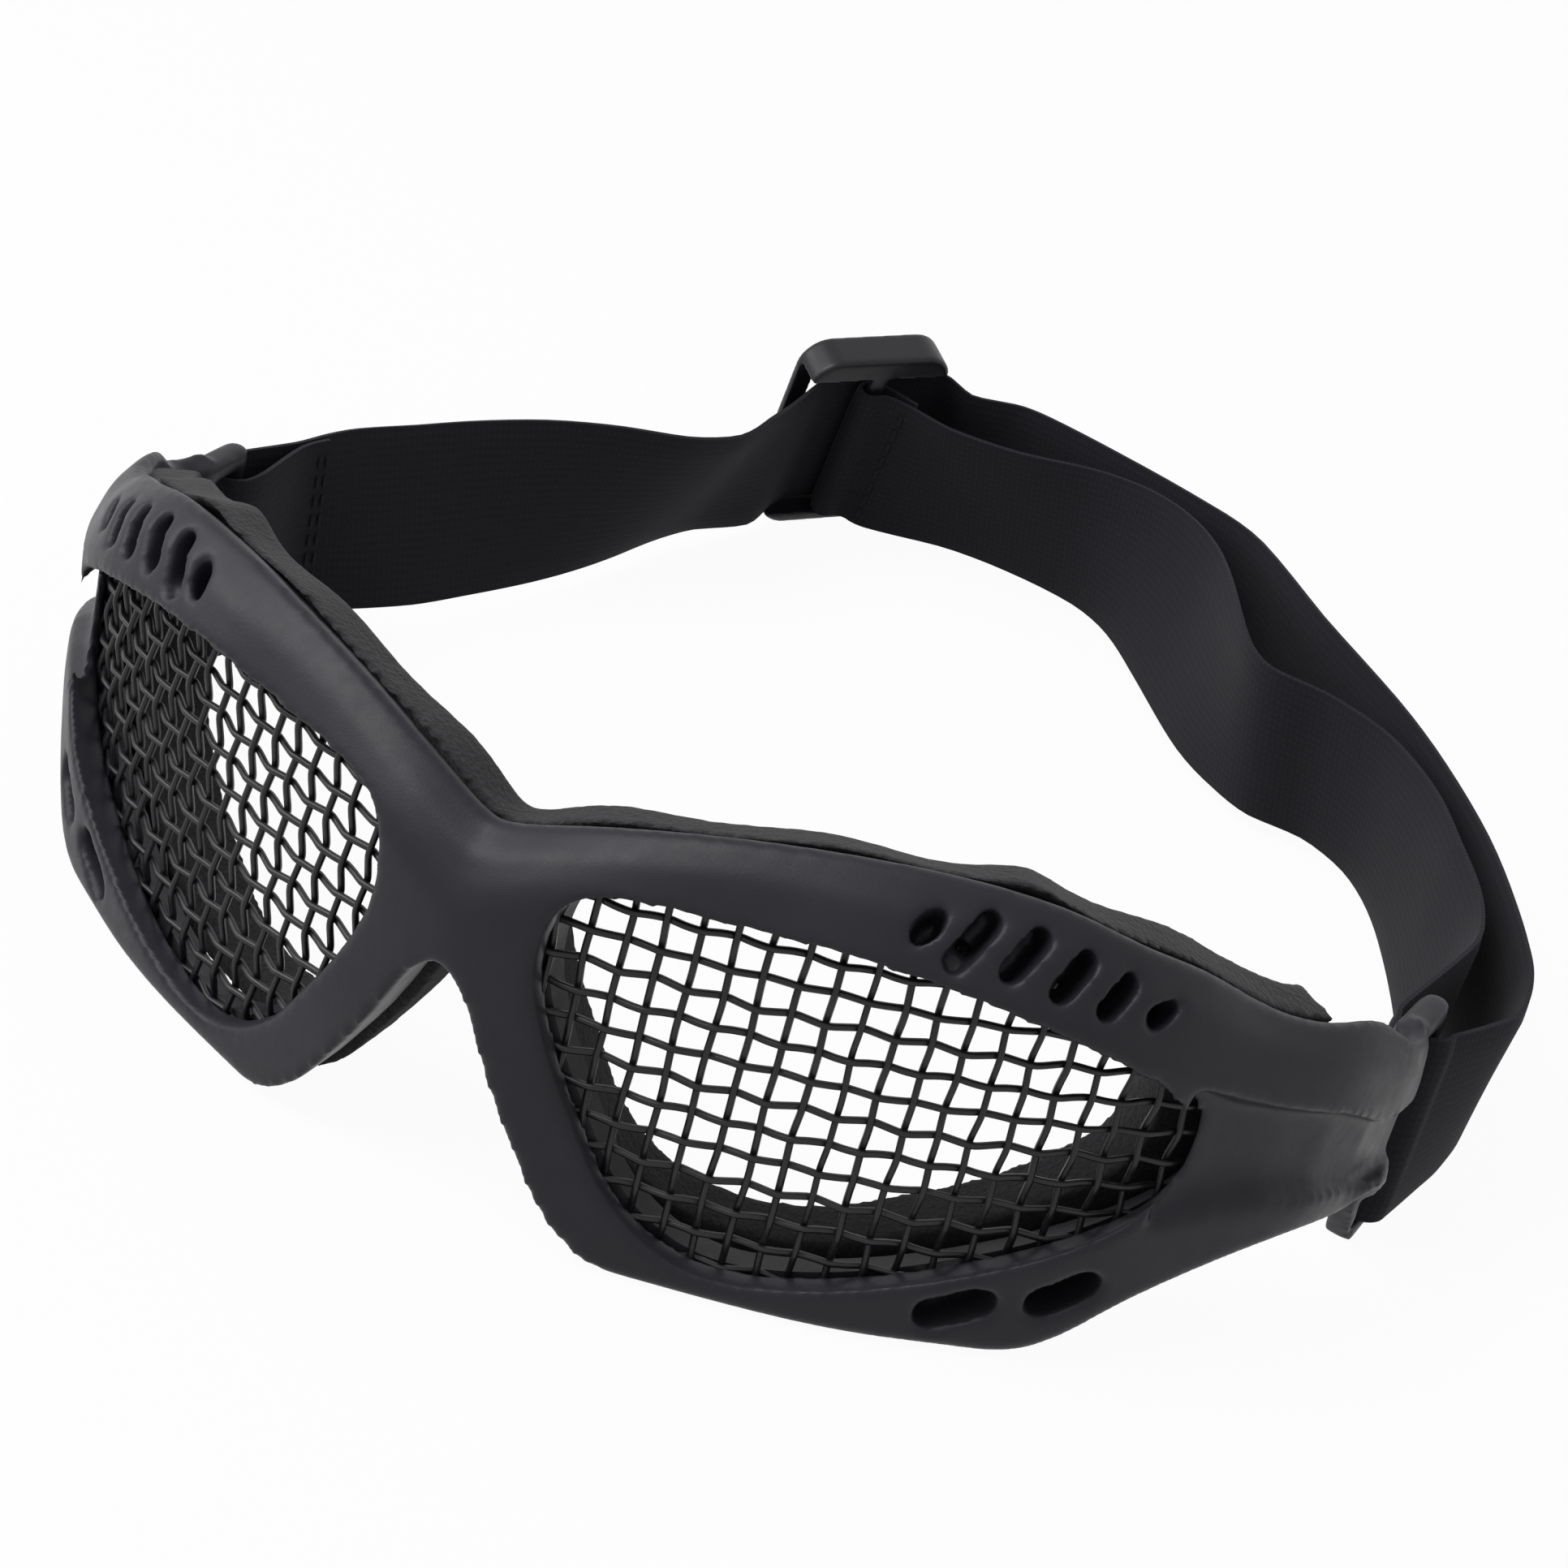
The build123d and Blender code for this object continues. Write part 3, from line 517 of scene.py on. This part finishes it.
strap = {
    "width": 26.4, "thick": 1.2, "low": 2.45, "barX": 85.3, "wrap": 3.4, "layerStep": 1.3,
    "across": 12, "refine": 2, "edgeSoft": 0.45, "edgeThin": 0.45, "shadeAngle": 40,
    "mainWrap": (100, 260), "returnWrap": (90, 262), "wrapSteps": 8,
    "tailShares": (0.97, 0.9), "leadShare": 0.9,
    "runLeft": [
        (-0.9650, 0.105, -0.9620, 0.105), (-0.9550, 0.145, -0.9400, 0.145),
        (-0.9400, 0.200, -0.8900, 0.192), (-0.8950, 0.265, -0.8350, 0.255),
        (-0.8450, 0.325, -0.8000, 0.318), (-0.7690, 0.397, -0.7600, 0.399),
        (-0.6800, 0.467, -0.7300, 0.481), (-0.6080, 0.533, -0.7120, 0.560),
        (-0.5660, 0.611, -0.7010, 0.630), (-0.5620, 0.675, -0.6760, 0.705)],
    "runRight": [
        (-0.3650, 0.950, -0.4250, 0.984), (-0.2900, 0.966, -0.3250, 0.992),
        (-0.2200, 0.966, -0.2150, 0.988), (-0.0670, 0.945, -0.0620, 0.964),
        (0.1310, 0.906, 0.1310, 0.913), (0.2560, 0.862, 0.2560, 0.866),
        (0.4360, 0.735, 0.4380, 0.738), (0.6280, 0.610, 0.6340, 0.618),
        (0.7560, 0.510, 0.7640, 0.518), (0.8780, 0.394, 0.8840, 0.398),
        (0.9640, 0.290, 0.9640, 0.290), (1.0160, 0.217, 1.0120, 0.217),
        (1.0440, 0.169, 1.0310, 0.169), (1.0600, 0.116, 1.0320, 0.116),
        (1.0560, 0.074, 1.0240, 0.074)],
    "return": [
        (-0.3400, 0.856, -0.3450, 0.940), (-0.2050, 0.870, -0.2100, 0.952),
        (-0.0800, 0.886, -0.0680, 0.940), (0.0340, 0.880, 0.0290, 0.900),
        (0.1360, 0.850, 0.1150, 0.835), (0.2170, 0.795, 0.2000, 0.765),
        (0.2910, 0.708, 0.2900, 0.695), (0.3700, 0.612, 0.3850, 0.645),
        (0.4350, 0.572, 0.4640, 0.620), (0.5300, 0.570, 0.5560, 0.622),
        (0.6400, 0.540, 0.6480, 0.590), (0.7170, 0.492, 0.7220, 0.530),
        (0.7870, 0.432, 0.7830, 0.456), (0.8500, 0.360, 0.8400, 0.374),
        (0.9100, 0.290, 0.8850, 0.300), (0.9480, 0.222, 0.9280, 0.222),
        (0.9560, 0.160, 0.9480, 0.155)],
}
slider = {
    "place": (-44.792, 113.315, 17.422), "heading": 54.0, "climb": 4.6, "lean": 18.4,
    "length": 24.5, "height": 35.0, "bottomRail": 2.0, "barLength": 3.0, "barThick": 1.5,
    "clear": 0.3, "edgeClear": 0.45,
    "entryShare": -1.25,  # of half the length, and so is the first number of each pair in throughShares
    "throughShares": [(-0.85, 0.45), (-0.55, 0.95), (-0.2, 1), (0.2, 1), (0.6, 1), (1.1, 0.8)],
    "exitShares": (1.67, 4.5), "leadShares": (0.87, 2), "loopShare": 1.4,
    "innerTurn": (270, 225, 180, 135, 90), "outerTurn": (90, 50, 10),
}


def sliderAxes():
    head, climb, lean = (math.radians(slider[k]) for k in ("heading", "climb", "lean"))
    along = Vector((math.cos(head) * math.cos(climb), math.sin(head) * math.cos(climb), math.sin(climb)))
    rise = Vector((math.sin(head) * math.sin(lean), -math.cos(head) * math.sin(lean), math.cos(lean)))
    out = rise.cross(along).normalized()
    return Vector(slider["place"]), along, along.cross(out).normalized(), out


sliderPlace, sliderAlong, sliderUp, sliderOut = sliderAxes()
legMid = slider["barThick"] + slider["clear"] + strap["thick"] / 2  # middles of the layers in the slider
runMid = legMid + strap["thick"] + slider["clear"]
returnMid = -slider["clear"] - strap["thick"] / 2


def sliderPair(along, out):  # the webbing's two edges at a place in the slider
    low = slider["bottomRail"] + slider["edgeClear"] / 2 - slider["height"] / 2
    base = sliderPlace + sliderAlong * along + sliderOut * out
    return base + sliderUp * (low + strap["width"]), base + sliderUp * low


def leaning(row):  # the two edges of a row, the top one raised until the webbing has its width
    top = Vector((row[0] * halfWidth, row[1] * reach, 0))
    bottom = Vector((row[2] * halfWidth, row[3] * reach, strap["low"]))
    flat = math.hypot(top.x - bottom.x, top.y - bottom.y)
    top.z = strap["low"] + math.sqrt(strap["width"] ** 2 - flat ** 2)
    return top, bottom


def upright(x, y):
    return Vector((x, y, strap["low"] + strap["width"])), Vector((x, y, strap["low"]))


def shifted(pair, move):
    return pair[0] + move, pair[1] + move


def barWrap(side, angles):  # round a strap bar
    pairs = []
    start, stop = angles
    for k in range(strap["wrapSteps"] + 1):
        angle = math.radians(start + (stop - start) * k / strap["wrapSteps"])
        x = side * strap["barX"] + strap["wrap"] * math.sin(angle)
        pairs.append(upright(x, strap["wrap"] * math.cos(angle)))
    return pairs


def refined(edges):  # a point between each two, drawn towards a smooth curve by the next ones out
    nearShare, farShare = 9 / 16, 1 / 16
    for turn in range(strap["refine"]):
        result = []
        last = len(edges) - 1
        for i in range(last):
            result.append(edges[i])
            before, after = edges[max(i - 1, 0)], edges[min(i + 2, last)]
            result.append(tuple((p + q) * nearShare - (a + b) * farShare
                                for p, q, a, b in zip(edges[i], edges[i + 1], before, after)))
        edges = result + [edges[last]]
    return edges


def webbingMesh(name, edges):
    edges = refined(edges)
    mids = [(top + bottom) * 0.5 for top, bottom in edges]
    across = strap["across"]
    points, faces, marks = [], [], []
    length = 0.0
    for i, (top, bottom) in enumerate(edges):
        up = (top - bottom).normalized()
        heading = mids[min(i + 1, len(mids) - 1)] - mids[max(i - 1, 0)]
        side = up.cross(heading).normalized()
        if i:
            length += (mids[i] - mids[i - 1]).length
        ring, ringMarks = [], []
        for face in (1, -1):
            for k in range(across + 1):
                share = k / across if face > 0 else 1 - k / across
                height = (share - 0.5) * strap["width"]
                edge = min(share, 1 - share) * strap["width"]
                half = strap["thick"] / 2 * (1 if edge > strap["edgeSoft"] else strap["edgeThin"])
                ring.append((mids[i] + up * height + side * (half * face) + home) * mm)
                ringMarks.append((length, height))
        points += ring
        marks.append(ringMarks)
    size = 2 * (across + 1)
    uvs = []
    for i in range(len(edges) - 1):
        for k in range(size):
            n = (k + 1) % size
            faces.append((i * size + k, i * size + n, (i + 1) * size + n, (i + 1) * size + k))
            uvs.append((marks[i][k], marks[i][n], marks[i + 1][n], marks[i + 1][k]))
    last = (len(edges) - 1) * size
    faces.append(tuple(range(size))[::-1])
    uvs.append(tuple(marks[0])[::-1])
    faces.append(tuple(range(last, last + size)))
    uvs.append(tuple(marks[-1]))
    mesh = bpy.data.meshes.new(name)
    mesh.from_pydata([tuple(p) for p in points], [], faces)
    layer = mesh.uv_layers.new(name="webbing")
    for polygon, corners in zip(mesh.polygons, uvs):
        for loop, uv in zip(polygon.loop_indices, corners):
            layer.data[loop].uv = uv
    obj = addObject(name, mesh)
    pick(obj)
    bpy.ops.object.mode_set(mode="EDIT")
    bpy.ops.mesh.select_all(action="SELECT")
    bpy.ops.mesh.normals_make_consistent(inside=False)
    bpy.ops.object.mode_set(mode="OBJECT")
    bpy.ops.object.shade_smooth_by_angle(angle=math.radians(strap["shadeAngle"]))
    dress(obj, webbing)
    print(name, "webbing length", round(length), "mm")
    return obj


def strapMainPairs():  # from the sewn tail round one bar, through the slider and on to the other bar
    left = [leaning(row) for row in strap["runLeft"]]
    right = [leaning(row) for row in strap["runRight"]]
    barX, wrap = strap["barX"], strap["wrap"]
    step = Vector((strap["layerStep"], 0, 0))
    tailX, tailY = strap["tailShares"]
    tail = [shifted(left[1], step), shifted(left[0], step), upright(-barX + wrap * tailX, wrap * tailY)]
    lead = [upright(-barX - wrap * strap["leadShare"], wrap)]
    half = slider["length"] / 2
    entry = [sliderPair(slider["entryShare"] * half, returnMid - strap["thick"] / 2)]
    through = [sliderPair(along * half, runMid * out) for along, out in slider["throughShares"]]
    ahead = tail + barWrap(-1, strap["mainWrap"]) + lead + left
    return ahead + entry + through + right + [upright(barX + wrap, 0)]


def returnExit():
    along, out = slider["exitShares"]
    return sliderPair(slider["barLength"] * along, returnMid * out)


def strapReturnPairs():  # from the other bar back to the slider and round its middle bar
    barX, wrap = strap["barX"], strap["wrap"]
    turn = slider["barThick"] / 2 + slider["clear"] + strap["thick"] / 2
    middle = slider["barThick"] / 2
    centre = (slider["barLength"] - slider["barThick"]) / 2
    along, out = slider["leadShares"]
    loop = [sliderPair(slider["barLength"] * along, returnMid * out)]
    loop.append(sliderPair(centre * slider["loopShare"], returnMid))
    for degrees, shift in ((slider["innerTurn"], -centre), (slider["outerTurn"], centre)):
        for angle in (math.radians(degree) for degree in degrees):
            loop.append(sliderPair(turn * math.cos(angle) + shift, middle + turn * math.sin(angle)))
    lift = (sliderAlong + sliderOut) * (strap["layerStep"] / math.sqrt(2))
    rows = [leaning(row) for row in reversed(strap["return"])]
    wrapped = barWrap(1, strap["returnWrap"]) + [upright(barX - wrap, wrap)]
    return wrapped + rows + [returnExit()] + loop + [shifted(returnExit(), lift)]


strapMain = webbingMesh("strapWebbing", strapMainPairs())
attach(strapMain, "strap")
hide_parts("strap_main")

strapReturn = webbingMesh("strapReturnWebbing", strapReturnPairs())
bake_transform(strapReturn)
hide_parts("strap_return")
print("webbing made")

# Floor, light and camera

studio = {
    "floorSize": 6.0, "paper": 0.95, "white": (1, 1, 1, 1), "sky": 0.52, "lampAim": (0, 0, 0.02),
    "floor": {"colour": (0.60, 0.60, 0.60), "roughness": 0.9, "gloss": 0.0},
    "lamps": {
        "topLamp": {"place": (-0.5, -0.5, 1.0), "size": 0.8, "power": 11.0},
        "sideLamp": {"place": (-1.0, -0.45, 0.5), "size": 0.6, "power": 5.0}},
}


def seenDirectly(tree):  # one for what the camera sees, straight or in metal or glass
    ways = tree.nodes.new("ShaderNodeLightPath")
    total = ways.outputs["Is Camera Ray"]
    for name in ("Is Glossy Ray", "Is Transmission Ray"):
        add = addNode(tree, "ShaderNodeMath", operation="ADD", use_clamp=True)
        tree.links.new(total, add.inputs[0])
        tree.links.new(ways.outputs[name], add.inputs[1])
        total = add.outputs["Value"]
    return total


def floorPaper():  # mostly plain white to the camera, and still takes the shadow
    material, tree, shader = newMaterial("paleFloor", studio["floor"])
    glow = addNode(tree, "ShaderNodeEmission", {"Color": studio["white"], "Strength": 1.0})
    share = addNode(tree, "ShaderNodeMath", operation="MULTIPLY")
    share.inputs[1].default_value = studio["paper"]
    tree.links.new(seenDirectly(tree), share.inputs[0])
    blend = tree.nodes.new("ShaderNodeMixShader")
    tree.links.new(share.outputs["Value"], blend.inputs["Fac"])
    tree.links.new(shader.outputs["BSDF"], blend.inputs[1])
    tree.links.new(glow.outputs["Emission"], blend.inputs[2])
    tree.links.new(blend.outputs["Shader"], tree.nodes["Material Output"].inputs["Surface"])
    return material


def studioWorld():  # plain light on the object, and white where the camera sees past it
    world = bpy.data.worlds.new("studioWorld")
    world.use_nodes = True
    tree = world.node_tree
    sky = tree.nodes["Background"]
    sky.inputs["Color"].default_value = studio["white"]
    sky.inputs["Strength"].default_value = studio["sky"]
    backdrop = addNode(tree, "ShaderNodeBackground", {"Color": studio["white"], "Strength": 1.0})
    mix = tree.nodes.new("ShaderNodeMixShader")
    tree.links.new(seenDirectly(tree), mix.inputs["Fac"])
    tree.links.new(sky.outputs["Background"], mix.inputs[1])
    tree.links.new(backdrop.outputs["Background"], mix.inputs[2])
    tree.links.new(mix.outputs["Shader"], tree.nodes["World Output"].inputs["Surface"])
    return world


def softLamp(name, place, size, power):
    lamp = bpy.data.lights.new(name, "AREA")
    lamp.shape = "DISK"
    lamp.size = size
    lamp.energy = power
    obj = addObject(name, lamp)
    way = Vector(studio["lampAim"]) - Vector(place)
    obj.rotation_euler = way.to_track_quat("-Z", "Y").to_euler()
    obj.location = place


clearSelection()
bpy.ops.mesh.primitive_plane_add(size=studio["floorSize"], location=(0, 0, 0))
floor = bpy.context.object
floor.name = "studioFloor"
dress(floor, floorPaper())
bpy.context.scene.world = studioWorld()
for name, lamp in studio["lamps"].items():
    softLamp(name, **lamp)

view = {
    "azimuth": 20.6547, "elevation": 28.4353, "roll": 15.0, "distance": 0.407369, "aim": (0, 3.0, 19.4),
    "focalPixels": 4000, "imagePixels": 1932, "sensor": 36, "nearest": 0.01, "farthest": 50,
}


def cameraPlace():
    azimuth, elevation, roll = (math.radians(view[k]) for k in ("azimuth", "elevation", "roll"))
    level = math.cos(elevation)
    back = Vector((math.sin(azimuth) * level, -math.cos(azimuth) * level, math.sin(elevation)))
    right = Vector((math.cos(azimuth), math.sin(azimuth), 0))
    upward = back.cross(right)
    turned = Matrix((right * math.cos(roll) + upward * math.sin(roll),
                     upward * math.cos(roll) - right * math.sin(roll), back)).transposed().to_4x4()
    turned.translation = (Vector(view["aim"]) + home) * mm + back * view["distance"]
    return turned


lens = bpy.data.cameras.new("studioCamera")
lens.lens = view["focalPixels"] / view["imagePixels"] * view["sensor"]
lens.sensor_width = view["sensor"]
lens.clip_start = view["nearest"]
lens.clip_end = view["farthest"]
camera = addObject("studioCamera", lens)
camera.matrix_world = cameraPlace()
bpy.context.scene.camera = camera
bpy.context.scene.view_settings.view_transform = "Standard"
print("studio made")

clearSelection()
